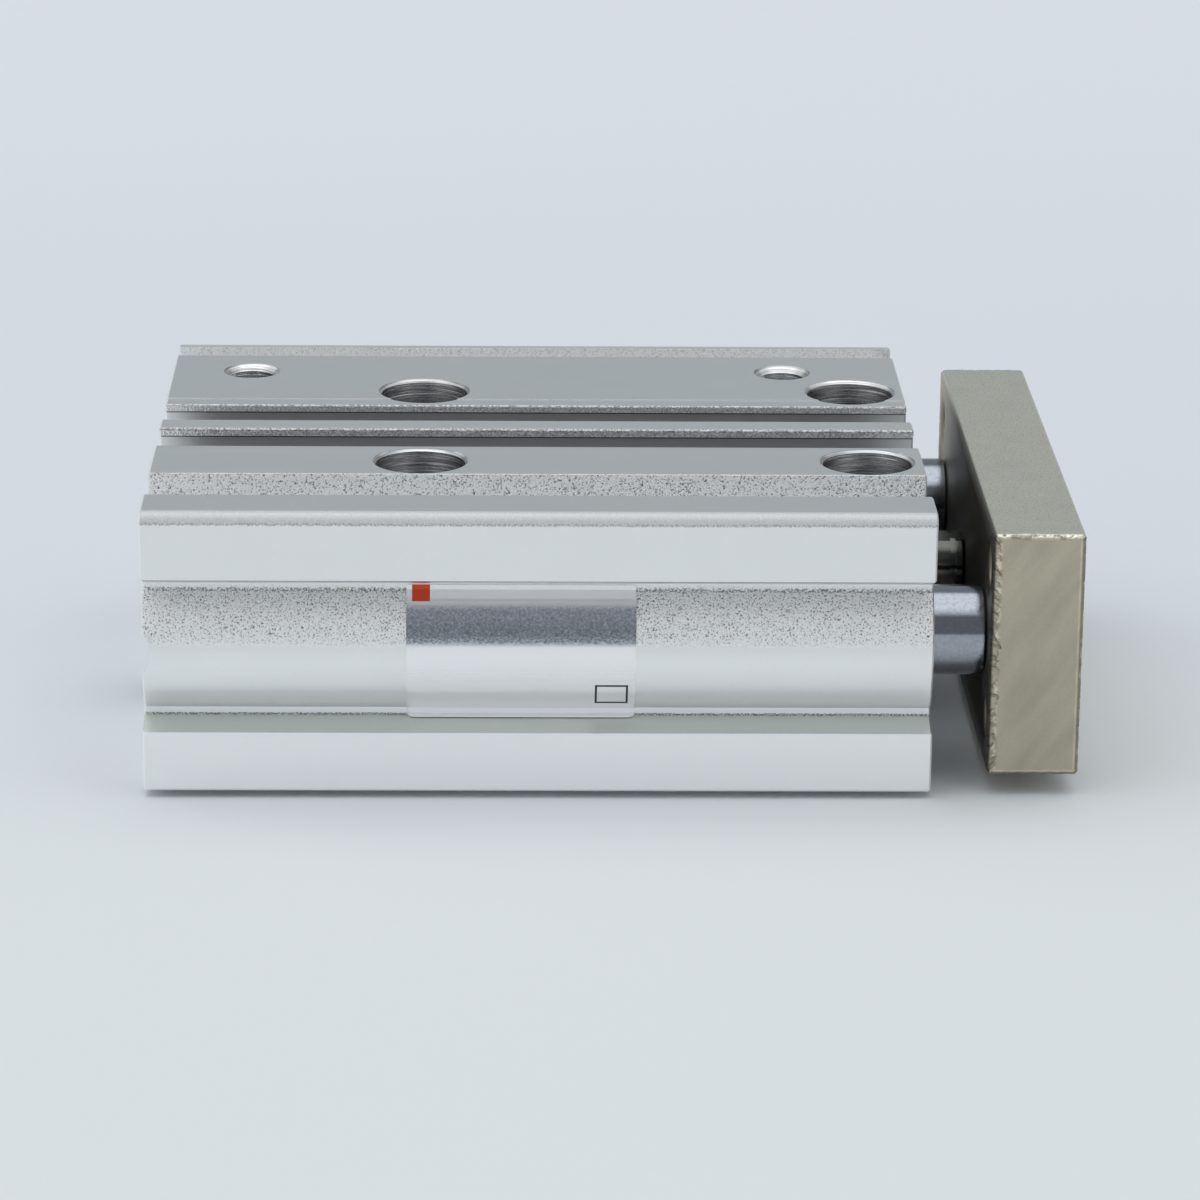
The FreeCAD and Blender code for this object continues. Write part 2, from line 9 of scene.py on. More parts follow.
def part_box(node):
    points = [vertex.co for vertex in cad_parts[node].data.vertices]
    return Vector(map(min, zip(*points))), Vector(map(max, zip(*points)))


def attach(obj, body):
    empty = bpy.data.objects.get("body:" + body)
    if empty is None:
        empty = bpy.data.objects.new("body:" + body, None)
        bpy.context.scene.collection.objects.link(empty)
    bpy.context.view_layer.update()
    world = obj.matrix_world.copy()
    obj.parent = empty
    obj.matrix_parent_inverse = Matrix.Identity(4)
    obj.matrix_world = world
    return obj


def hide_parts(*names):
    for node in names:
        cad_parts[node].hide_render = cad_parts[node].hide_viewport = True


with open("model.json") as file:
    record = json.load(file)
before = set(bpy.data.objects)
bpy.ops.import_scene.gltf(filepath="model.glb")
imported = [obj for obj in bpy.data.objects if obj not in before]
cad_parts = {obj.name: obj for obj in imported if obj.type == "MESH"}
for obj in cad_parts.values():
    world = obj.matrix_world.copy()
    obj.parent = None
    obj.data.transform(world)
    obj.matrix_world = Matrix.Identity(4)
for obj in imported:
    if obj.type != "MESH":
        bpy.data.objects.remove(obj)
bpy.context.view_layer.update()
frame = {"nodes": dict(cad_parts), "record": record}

# ---------------------------------------------------------------------------
# Cylinder body
# The body is one length of aluminium extrusion, blasted with fine beads and clear anodised. Its
# outer lands are smooth and satin; the grooves, slot lips and the bulges over the guide bores keep
# a coarser grain. Holes and ports are bored after that, so their walls show the tool's rings.
# ---------------------------------------------------------------------------


MM = 1000.0


class Socket:
    """An output socket of a tree. Arithmetic on it adds Math nodes to that tree."""

    def __init__(self, owner, socket):
        self.owner = owner
        self.socket = socket

    def maths(self, operation, *values):
        return self.owner.node("ShaderNodeMath", {"operation": operation}, dict(enumerate(values)))

    def __add__(self, other):
        return self.maths("ADD", self, other)

    def __radd__(self, other):
        return self.maths("ADD", other, self)

    def __sub__(self, other):
        return self.maths("SUBTRACT", self, other)

    def __rsub__(self, other):
        return self.maths("SUBTRACT", other, self)

    def __mul__(self, other):
        return self.maths("MULTIPLY", self, other)

    def __rmul__(self, other):
        return self.maths("MULTIPLY", other, self)

    def __pow__(self, other):
        return self.maths("POWER", self, other)

    def __abs__(self):
        return self.maths("ABSOLUTE", self)

    def least(self, other):
        return self.maths("MINIMUM", self, other)

    def most(self, other):
        return self.maths("MAXIMUM", self, other)

    def rise(self, low, high):
        """0 below low, 1 above high and a smooth step between them; falls if low is above high."""
        limits = {"Value": self, "From Min": low, "From Max": high}
        return self.owner.node("ShaderNodeMapRange", {"interpolation_type": "SMOOTHSTEP"}, limits)

    def within(self, low, high, soft):
        """1 from low to high, fading out over the width soft on both sides."""
        return self.rise(low - soft, low + soft) * self.rise(high + soft, high - soft)


class Tree:
    """A node tree, with one method that adds any node to it."""

    def __init__(self, tree):
        self.tree = tree

    def node(self, kind, settings=None, sockets=None, out=0):
        """Adds a node, gives it its settings first and then its sockets' values or links."""
        node = self.tree.nodes.new(kind)
        for name, value in (settings or {}).items():
            setattr(node, name, value)
        for name, value in (sockets or {}).items():
            self.feed(node.inputs[name], value)
        return Socket(self, node.outputs[out])

    def feed(self, entry, value):
        if isinstance(value, Socket):
            self.tree.links.new(value.socket, entry)
        elif entry.type == "RGBA" and len(value) == 3:
            entry.default_value = (*value, 1.0)
        else:
            entry.default_value = value


class Finish(Tree):
    """A material with one Principled BSDF. Its x, y and z are places on the part in millimetres."""

    def __init__(self, name, colour, metallic=1.0, roughness=0.4, extra=None):
        self.material = bpy.data.materials.new(name)
        self.material.use_nodes = True
        super().__init__(self.material.node_tree)
        self.shader = self.tree.nodes["Principled BSDF"]
        self.set("Base Color", colour)
        self.set("Metallic", metallic)
        self.set("Roughness", roughness)
        for entry, value in (extra or {}).items():
            self.set(entry, value)
        here = self.node("ShaderNodeTexCoord", out="Object")
        scaled = {"operation": "SCALE"}
        self.mm = self.node("ShaderNodeVectorMath", scaled, {"Vector": here, "Scale": MM})
        self.x, self.y, self.z = (
            self.node("ShaderNodeSeparateXYZ", None, {"Vector": self.mm}, axis) for axis in "XYZ"
        )

    def set(self, entry, value):
        self.feed(self.shader.inputs[entry], value)

    def grain(self, size, detail=2.0, stretch=(1, 1, 1)):
        """Noise whose grains are about size millimetres across, longer along stretched axes."""
        shrink = {"Vector": self.mm, "Scale": tuple(1 / s for s in stretch)}
        place = self.node("ShaderNodeMapping", None, shrink)
        values = {"Vector": place, "Scale": 1 / size, "Detail": detail, "Roughness": 0.6}
        return self.node("ShaderNodeTexNoise", None, values)

    def mix(self, share, first, second):
        """First where share is 0, second where it is 1."""
        values = {"Factor": share, 6: first, 7: second}
        return self.node("ShaderNodeMix", {"data_type": "RGBA"}, values, 2)

    def tint(self, colour, shade):
        """A colour made lighter or darker by shade."""
        values = {0: colour, "Scale": shade}
        return self.node("ShaderNodeVectorMath", {"operation": "SCALE"}, values)

    def bump(self, height, depth):
        """Relief of the given depth in millimetres."""
        values = {"Height": height, "Distance": depth / MM, "Strength": 1.0}
        self.set("Normal", self.node("ShaderNodeBump", None, values))


def coat(finish, *nodes):
    """Gives CAD nodes a finish through their own material slots."""
    for name in nodes:
        for slot in frame["nodes"][name].material_slots:
            slot.link = "OBJECT"
            slot.material = finish.material


def mount(name):
    """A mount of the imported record."""
    return next(m for m in frame["record"]["mounts"] if m["name"] == name)


body_low, body_high = (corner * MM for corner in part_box("cylinder_body"))
bolts = mount("top_bolts")
bolt_x = bolts["pos_m"][0] * MM
bolt_reach = (bolts["dims"]["spacing_x_mm"] / 2, bolts["dims"]["spacing_y_mm"] / 2)
ports = [mount("port_head_end")["pos_m"], mount("port_plate_end")["pos_m"]]
port_x = [p[0] * MM for p in ports]
port_y = ports[0][1] * MM

satin = Finish("bead_blasted_anodised", (0.86, 0.87, 0.88), 1.0, 0.38)

# Radii of the chamfered rims round the holes in the top
BOLT_RIM = 4.3
PORT_RIM = 2.7

# Places above or below the body's axis
BULGE_GRAIN = (1.2, 5.5)       # where the bulge keeps its grain
BULGE_FOOT = (3.6, 5.7)        # where it turns under
WALL_CREASE = (5.2, 5.55)      # where it meets the wall above it
LEDGE_CREASE = (5.92, 6.12)    # where the ledge under it meets the slant
SHELF = (5.9, 6.93)            # the underside of the upper band
SLANT = (5.97, 6.93)           # the slope on top of the lower band
BAND_CHIPS = (6.85, 7.05)      # the upper edge of the lower band

# Places in from the sides
SLOPES = (0.04, 2.56)          # of the shelf and the slant
SHELF_LIP = (0.42, 0.5)        # its outermost strip
ROUNDING = 1.0                 # of the top edges

# Places across the body: the groove walls, the switch slots and the fine step beside them
FRONT_WALL = (12.0, 12.7)      # behind the front
BACK_WALL = (27.6, 28.0)       # behind the middle
GROOVE_FLOOR = 20.0            # above the base
SLOT = (0.9, 7.6)
SLOT_FLOOR = 21.3              # above the base
SLOT_EDGES = ((1.29, 1.46), (6.99, 7.16))
STEP = (8.98, 9.07)

# Places below the top
LIP = (0.7, 0.8)               # the foot of the slots' lips
UNDERCUT = (0.76, 1.0)
LIP_CHAMFER = (0.24, 0.27)
LAND = (0.101, 0.11)
EDGE_LINE = (0.86, 1.12)       # the foot of the top edges

GRIT = 3.2                     # contrast of the coarse grain
GRIT_MIDDLE = 0.445            # the grain's value that leaves the colour as it is
PALEST = 1.04                  # the most that a shade may lighten the metal
METAL = (0.945, 0.95, 0.95)
# A darker, greener copy of the metal: painted shade for the lower slant
SHADED_SLANT_METAL = (0.67, 0.71, 0.66)


def machined(f):
    """1 inside the rims of the bolt holes and ports, from just under the top down to the base."""
    bolt_dx = abs(abs(f.x - bolt_x) - bolt_reach[0])
    bolt_dy = abs(abs(f.y) - bolt_reach[1])
    bolt_r = (bolt_dx * bolt_dx + bolt_dy * bolt_dy) ** 0.5
    port_dx = abs(f.x - port_x[0]).least(abs(f.x - port_x[1]))
    port_dy = f.y - port_y
    port_r = (port_dx * port_dx + port_dy * port_dy) ** 0.5
    below = f.z.rise(body_high.z - 0.005, body_high.z - 0.02)
    bolt_holes = bolt_r.rise(BOLT_RIM + 0.04, BOLT_RIM)
    return bolt_holes.most(port_r.rise(PORT_RIM + 0.04, PORT_RIM)) * below


def anodised_body():
    f = satin
    top, reach = body_high.z, body_high.y
    axis = (body_low.z + body_high.z) / 2
    side = abs(f.y)
    behind = f.y - body_low.y
    to_end = (f.x - body_low.x).least(body_high.x - f.x)
    long_faces = to_end.rise(0.02, 0.1)
    bored = machined(f)

    def above(zone, soft):
        return f.z.within(axis + zone[0], axis + zone[1], soft)

    def below(zone, soft):
        return f.z.within(axis - zone[1], axis - zone[0], soft)

    def under_top(zone, soft):
        return f.z.within(top - zone[1], top - zone[0], soft)

    # Where the coarse grain is left: the bulges, the groove walls and the top edges of the bands
    bulge = above(BULGE_GRAIN, 0.6) * side.within(reach - 2.8, reach - 0.3, 0.1)
    front_wall = behind.within(*FRONT_WALL, 0.05) * f.z.rise(GROOVE_FLOOR, GROOVE_FLOOR + 0.1)
    back_wall = f.y.within(*BACK_WALL, 0.1) * f.z.within(GROOVE_FLOOR, top - 0.02, 0.02)
    raw = bulge.most(front_wall).most(back_wall * 0.35) * long_faces
    edge = under_top((0.01, ROUNDING + 0.05), 0.02) * long_faces
    edge = edge * side.rise(reach - ROUNDING - 0.06, reach - ROUNDING)

    # The slots' lips and inner walls see little light except near the sawn ends, and painted shade
    # darkens them away from those ends
    slot = side.within(*SLOT, 0.02) * f.z.within(SLOT_FLOOR, top - 0.2, 0.05) * long_faces
    lip = slot * f.z.rise(top - LIP[1], top - LIP[0])
    painted_slot_shade = slot * to_end.rise(-1.0, 5.0)
    undercut_shadow = slot * under_top(UNDERCUT, 0.02)
    lip_edge = side.within(*SLOT_EDGES[0], 0.01) + side.within(*SLOT_EDGES[1], 0.01)
    lip_edge = lip_edge * f.z.rise(top - LIP_CHAMFER[1], top - LIP_CHAMFER[0])
    lands = f.z.rise(top - LAND[1], top - LAND[0])
    step = side.within(*STEP, 0.015) * lands

    # The slopes above and below the bulge; painted shade darkens the shelf under the upper band,
    # most on its outermost strip, and the slant gets a darker, greener copy of the metal
    slopes = side.within(reach - SLOPES[1], reach - SLOPES[0], 0.01)
    shelf = above(SHELF, 0.01) * slopes * long_faces
    shelf_lip = side.rise(reach - SHELF_LIP[1], reach - SHELF_LIP[0])
    slant = below(SLANT, 0.01) * slopes
    low_bulge = below(BULGE_FOOT, 0.9) * side.rise(reach - 2.7, reach - 2.5)

    # Painted shade as dark flecks along the creases and the foot of the top edges, and bright chips
    # along the upper edge of the lower band
    fleck = f.grain(0.18, 1.0).rise(0.42, 0.58)
    wall_crease = above(WALL_CREASE, 0.08) * side.within(reach - 3.0, reach - 2.4, 0.1)
    ledge_crease = below(LEDGE_CREASE, 0.04) * side.within(reach - 2.7, reach - 2.3, 0.1)
    edge_line = under_top(EDGE_LINE, 0.06) * side.rise(reach - 0.2, reach - 0.1)
    painted_crease_shade = (wall_crease.most(ledge_crease) + edge_line * 0.6) * fleck * long_faces
    chips = below(BAND_CHIPS, 0.08) * side.rise(reach - 0.3, reach - 0.1) * fleck

    # The worn rims of the sawn ends, painted shade on the end at the plate, and the tool's rings in
    # the holes
    plate_end_shade = to_end.rise(0.16, 0.12) * f.x.rise(0.0, 1.0)
    end_rim = to_end.rise(0.17, 0.13) * to_end.rise(0.0, 0.02)
    rings = f.grain(0.3, 2.0, (30, 30, 0.6))

    grit = f.grain(0.155, 0.5)
    fine = f.grain(0.13, 3.0)
    cloud = f.grain(6.0, 2.0)
    breaks = f.grain(0.22, 2.0).rise(0.58, 0.4)
    shade = 1.0 + (cloud - 0.5) * 0.05 + (fine - 0.5) * 0.12
    shade = shade + (raw + edge * 0.1 + lip * 0.5) * (grit - GRIT_MIDDLE) * GRIT
    # Painted shade: dark flecks in the creases, and the slots' walls and lips darkened away from
    # the sawn ends
    shade = shade * (1.0 - painted_crease_shade * 0.6) * (1.0 - painted_slot_shade * (0.48 - lip * 0.22))
    # Painted shade under the upper band, darkest on its outermost strip
    shade = shade * (1.0 - shelf * (0.2 + shelf_lip * 0.75))
    # Painted shadow under the slots' lips, and painted shade on the rounded top edges and on the
    # top lands
    shade = shade * (1.0 - undercut_shadow * 0.75) * (1.0 - edge * 0.24) * (1.0 - lands * 0.1)
    # Painted shade on the slots' lip chamfers, broken by noise, and bright chips on the lower band
    shade = shade * (1.0 - lip_edge * (0.35 + 0.35 * breaks)) + chips * 0.25
    # The tool's rings in the holes with painted shade on their walls, and painted shade on the
    # body's end at the plate
    shade = shade * (1.0 - bored * (1.1 - rings * 1.5)) * (1.0 - plate_end_shade * 0.3)
    # Painted light: the lower band a little lighter
    shade = shade * (1.0 + f.z.rise(axis - 5.0, axis - 7.0) * 0.05)
    # The slant gets painted shade: a darker, greener copy of the metal
    f.set("Base Color", f.tint(f.mix(slant, METAL, SHADED_SLANT_METAL), shade.least(PALEST)))
    worn = raw * 0.15 + edge * 0.8 + low_bulge * 0.5 + step * 0.6 + end_rim * 0.5
    f.set("Metallic", 1.0 - worn)
    f.set("Roughness", (0.4 + raw * 0.2 + edge * 0.1) * (1.0 - bored) + bored * 0.25)
    relief = fine * 0.25 + grit * (raw * 6.0 + lip * 3.0 + edge * 0.5)
    f.bump(relief * (1.0 - bored) + rings * bored * 2.5, 0.03)
    coat(f, "cylinder_body")


anodised_body()

# ---------------------------------------------------------------------------
# Port threads
# Both air ports are tapped with a fine thread right up to the countersink. The crests are bright
# because the tap cuts them last.
# ---------------------------------------------------------------------------


def plain_mesh(source, name):
    """The evaluated result of an object's modifiers as a new object, with the source removed."""
    evaluated = source.evaluated_get(bpy.context.evaluated_depsgraph_get())
    mesh = bpy.data.meshes.new_from_object(evaluated)
    mesh.name = name
    bpy.data.objects.remove(source)
    piece = bpy.data.objects.new(name, mesh)
    bpy.context.scene.collection.objects.link(piece)
    return piece


def grown(name, mesh, tree, **inputs):
    """Runs a geometry tree on a mesh and returns the plain result."""
    seed = bpy.data.objects.new(name + "_seed", mesh)
    bpy.context.scene.collection.objects.link(seed)
    modifier = seed.modifiers.new(name, "NODES")
    modifier.node_group = tree
    for item in tree.interface.items_tree:
        if item.item_type == "SOCKET" and item.in_out == "INPUT" and item.name in inputs:
            modifier[item.identifier] = inputs[item.name]
    return plain_mesh(seed, name)


def geometry_tree(name, *sizes):
    """An empty geometry tree with named sizes. Returns it, its inputs by name and its output."""
    tree = bpy.data.node_groups.new(name, "GeometryNodeTree")
    tree.interface.new_socket("Geometry", in_out="INPUT", socket_type="NodeSocketGeometry")
    tree.interface.new_socket("Geometry", in_out="OUTPUT", socket_type="NodeSocketGeometry")
    for size in sizes:
        tree.interface.new_socket(size, in_out="INPUT", socket_type="NodeSocketFloat")
    g = Tree(tree)
    given = tree.nodes.new("NodeGroupInput")
    result = tree.nodes.new("NodeGroupOutput")
    inputs = {socket.name: Socket(g, socket) for socket in given.outputs if socket.name}
    return g, inputs, result.inputs[0]


def thread_tree(finish):
    g, given, result = geometry_tree("Thread", "Radius", "Pitch", "Turns", "Crest")
    sizes = {
        "Resolution": 24,
        "Rotations": given["Turns"],
        "Start Radius": given["Radius"],
        "End Radius": given["Radius"],
        "Height": given["Pitch"] * given["Turns"],
    }
    helix = g.node("GeometryNodeCurveSpiral", None, sizes)
    square = {"Resolution": 4, "Radius": given["Crest"]}
    ridge = g.node("GeometryNodeCurvePrimitiveCircle", None, square)
    fill = {"Curve": helix, "Profile Curve": ridge, "Fill Caps": True}
    thread = g.node("GeometryNodeCurveToMesh", None, fill)
    spread = {"Points": given["Geometry"], "Instance": thread}
    each = g.node("GeometryNodeInstanceOnPoints", None, spread)
    solid = g.node("GeometryNodeRealizeInstances", None, {"Geometry": each})
    done = g.node("GeometryNodeSetMaterial", None, {"Geometry": solid, "Material": finish.material})
    g.feed(result, done)
    return g.tree


tapped = Finish("tapped_aluminium", (0.55, 0.56, 0.58), 1.0, 0.22)
THREAD_PITCH = 0.8 / MM
THREAD_TURNS = 4.6
THREAD_CREST = 0.24 / MM    # half the ridge's width
THREAD_DEPTH = 4.5          # of its foot, below the top
THREAD_SUNK = 0.05          # how far its middle lies in the wall
port_r = (mount("port_head_end")["dims"]["r_mm"] + THREAD_SUNK) / MM
port_foot = (body_high.z - THREAD_DEPTH) / MM
feet = bpy.data.meshes.new("port_feet")
feet.from_pydata([(p[0], p[1], port_foot) for p in ports], [], [])
threads = grown("port_threads", feet, thread_tree(tapped),
                Radius=port_r, Pitch=THREAD_PITCH, Turns=THREAD_TURNS, Crest=THREAD_CREST)
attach(threads, "cylinder")

# ---------------------------------------------------------------------------
# Guide bearings
# Each guide rod runs in two oil-filled bronze bushes. An oiled felt ring behind a thin pressed
# washer wipes it where it leaves the body.
# ---------------------------------------------------------------------------

bronze = Finish("oil_filled_bronze", (0.45, 0.32, 0.17), 1.0, 0.38)
bronze.set("Roughness", 0.3 + bronze.grain(0.5) * 0.2)
felt = Finish("oiled_felt", (0.20, 0.17, 0.12), 0.0, 0.85)
felt.bump(felt.grain(0.25, 4.0), 0.12)
pressed = Finish("pressed_steel", (0.45, 0.45, 0.46), 1.0, 0.3)
pressed.set("Roughness", 0.25 + pressed.grain(0.6) * 0.15)
for side in ("front", "back"):
    coat(bronze, "plate_end_bush_" + side, "head_end_bush_" + side)
    coat(felt, "oil_felt_" + side)
    coat(pressed, "felt_holder_" + side)

# ---------------------------------------------------------------------------
# Guide rods and piston rod
# Ground steel bar, hard chromed and polished to a mirror. The guide rods wipe dry in their felts,
# and the thinner piston rod, in the gap by the plate, gets a near-black chrome that is painted
# shade.
# ---------------------------------------------------------------------------

CHROME = (0.36, 0.385, 0.425)
chrome = Finish("hard_chrome", CHROME, 1.0, 0.1)
chrome.set("Roughness", 0.07 + chrome.grain(0.5, 3.0, (1, 6, 6)) * 0.08)
chrome.set("Base Color", chrome.tint(CHROME, 0.8 + chrome.grain(0.3, 1.0) * 0.4))
chrome.bump(chrome.grain(0.2, 2.0, (0.3, 8, 8)), 0.0015)
coat(chrome, "guide_rod_front", "guide_rod_back")
# Painted shade: the piston rod's chrome is made near-black
oiled = Finish("oiled_chrome", (0.13, 0.13, 0.12), 1.0, 0.12)
oiled.set("Roughness", 0.1 + oiled.grain(0.5, 3.0, (1, 6, 6)) * 0.1)
coat(oiled, "piston_rod")

# ---------------------------------------------------------------------------
# Piston
# A turned aluminium piston, riveted on the rod, with a rubber seal and a plastic-bonded magnet
# that switches in the slots on top sense.
# ---------------------------------------------------------------------------

turned_aluminium = Finish("turned_aluminium", (0.52, 0.53, 0.54), 1.0, 0.3)
turned_aluminium.set("Roughness", 0.25 + turned_aluminium.grain(0.2, 2.0, (0.4, 10, 10)) * 0.2)
turned_aluminium.bump(turned_aluminium.grain(0.15, 2.0, (1, 20, 20)), 0.01)
rubber = Finish("black_rubber", (0.02, 0.02, 0.022), 0.0, 0.45)
rubber.bump(rubber.grain(0.3, 3.0), 0.02)
magnet = Finish("bonded_magnet", (0.045, 0.045, 0.05), 0.2, 0.5)
magnet.bump(magnet.grain(0.2, 3.0), 0.02)
coat(turned_aluminium, "piston", "rod_collar", "head_cover")
coat(rubber, "piston_seal", "rod_seal", "collar_gasket", "head_cover_gasket")
coat(magnet, "piston_magnet")

# ---------------------------------------------------------------------------
# Covers, rings and bumpers
# The turned collar and head cover are held by phosphated spring rings, and amber bumpers soften
# both ends of the stroke.
# ---------------------------------------------------------------------------

spring = Finish("phosphated_spring_steel", (0.09, 0.085, 0.08), 0.7, 0.45)
spring.set("Roughness", 0.35 + spring.grain(0.3, 3.0) * 0.25)
amber = Finish("amber_urethane", (0.42, 0.22, 0.05), 0.0, 0.35)
amber.bump(amber.grain(1.0), 0.01)
coat(spring, "collar_retaining_ring", "head_retaining_ring")
coat(amber, "collar_bumper", "head_bumper")

# ---------------------------------------------------------------------------
# End plate
# A milled steel plate with dull nickel over it. The edges of its two narrow ends were broken by
# hand, so they are chipped and uneven, most of all on the side of the body.
# ---------------------------------------------------------------------------

plate_low, plate_high = (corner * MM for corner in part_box("end_plate"))
END_DEPTH = 1.5        # how much of each narrow end is made afresh
EDGE_STEP = 0.11       # spacing of the points round it
RING_SHARES = (0.0, 0.2, 0.4, 0.6, 0.8)    # rows of points across each broken edge
FACE_MARGIN = 1.8      # the last row, on the flat face
# How wide the broken edges are towards the body, away from it, at the top and at the bottom
BREAKS = {"inner": 0.66, "outer": 0.26, "top": 0.36, "bottom": 0.22}


def merged_copy(node):
    """A CAD node's mesh in millimetres, with its loose triangles joined."""
    work = bmesh.new()
    work.from_mesh(frame["nodes"][node].data)
    bmesh.ops.scale(work, vec=(MM, MM, MM), verts=work.verts)
    bmesh.ops.remove_doubles(work, verts=work.verts, dist=1e-3)
    return work


def piece_of(name, work, finish, crease):
    """Turns a mesh in millimetres into a piece with a finish, smooth up to the crease angle."""
    bmesh.ops.scale(work, vec=(1 / MM, 1 / MM, 1 / MM), verts=work.verts)
    bmesh.ops.recalc_face_normals(work, faces=work.faces)
    mesh = bpy.data.meshes.new(name)
    work.to_mesh(mesh)
    work.free()
    mesh.polygons.foreach_set("use_smooth", [True] * len(mesh.polygons))
    mesh.set_sharp_from_angle(angle=math.radians(crease))
    mesh.materials.append(finish.material)
    piece = bpy.data.objects.new(name, mesh)
    bpy.context.scene.collection.objects.link(piece)
    return piece


def open_rim(work):
    """The points round the one opening of a mesh, in order."""
    edge = next(e for e in work.edges if e.is_boundary)
    rim = [edge.verts[0]]
    while (point := edge.other_vert(rim[-1])) is not rim[0]:
        rim.append(point)
        edge = next(e for e in point.link_edges if e.is_boundary and e is not edge)
    return rim


def edge_break(point):
    """How wide the break is where a point of the outline is, from its side and the chips in it."""
    gaps = {
        "inner": point.x - plate_low.x,
        "outer": plate_high.x - point.x,
        "top": plate_high.z - point.z,
        "bottom": point.z - plate_low.z,
    }
    width = BREAKS[min(gaps, key=gaps.get)]
    wave = noise.noise(point * 0.8) + 0.6 * noise.noise(point * 2.3)
    chip = 0.35 if noise.noise(point * 1.1 + Vector((7.0, 3.0, 5.0))) > 0.12 else 0.0
    return width * max(0.35, 0.8 + 0.4 * wave + chip)


def uneven_end(work, out, wear):
    """Cuts off the end on the side out, -1 or 1, and grows it again with edges chipped by wear."""
    face = out * plate_high.y
    bmesh.ops.bisect_plane(
        work,
        geom=work.verts[:] + work.edges[:] + work.faces[:],
        plane_co=(0, face - out * END_DEPTH, 0),
        plane_no=(0, out, 0),
        clear_outer=True,
    )
    for edge in [e for e in work.edges if e.is_boundary]:
        cuts = int(edge.calc_length() / EDGE_STEP)
        if cuts:
            bmesh.ops.subdivide_edges(work, edges=[edge], cuts=cuts)

    middle = (plate_low + plate_high) / 2
    half = (plate_high - plate_low) / 2
    rims = [open_rim(work)]
    breaks = [wear * edge_break(v.co) for v in rims[0]]

    def rim(row):
        """A row of points: row gives how far in and how far back each is."""
        made = []
        for v, width in zip(rims[0], breaks):
            inward, back = row(v.co, width)
            across = (v.co.x - middle.x) * (1 - inward / half.x)
            height = (v.co.z - middle.z) * (1 - inward / half.z)
            made.append(work.verts.new((middle.x + across, face - out * back, middle.z + height)))
        rims.append(made)

    def worn(share):
        def row(co, width):
            dent = width * 0.28 * max(0.0, noise.noise(co * 3.1 + Vector((share * 2.0, 0.0, 0.0))))
            return width * share + dent, width * (1 - share) * 0.8 + dent
        return row

    rim(lambda co, width: (0.0, width * 0.8 + 0.12))
    for share in RING_SHARES:
        rim(worn(share))
    rim(lambda co, width: (width, 0.0))
    rim(lambda co, width: (width + 0.1, 0.0))
    rim(lambda co, width: (FACE_MARGIN, 0.0))
    for first, second in zip(rims, rims[1:]):
        for i in range(len(first)):
            work.faces.new((first[i - 1], first[i], second[i], second[i - 1]))
    work.faces.new(rims[-1])


nickel = Finish("dull_nickel_plate", (0.42, 0.40, 0.34), 1.0, 0.3)
# Lit and shaded copies of the one nickel: painted shade on the narrow ends, painted light on the
# top
SHADED_END_NICKEL = (0.52, 0.475, 0.37)
LIT_TOP_NICKEL = (0.66, 0.64, 0.57)
WIPE_ANGLE = 0.61      # of the streaks across the narrow ends
LINE_WIDTH = (0.05, 0.09)
LINE_IN = 0.42         # the painted highlight line inside the outer edge
LINE_UP = 0.36         # and the one above the bottom edge


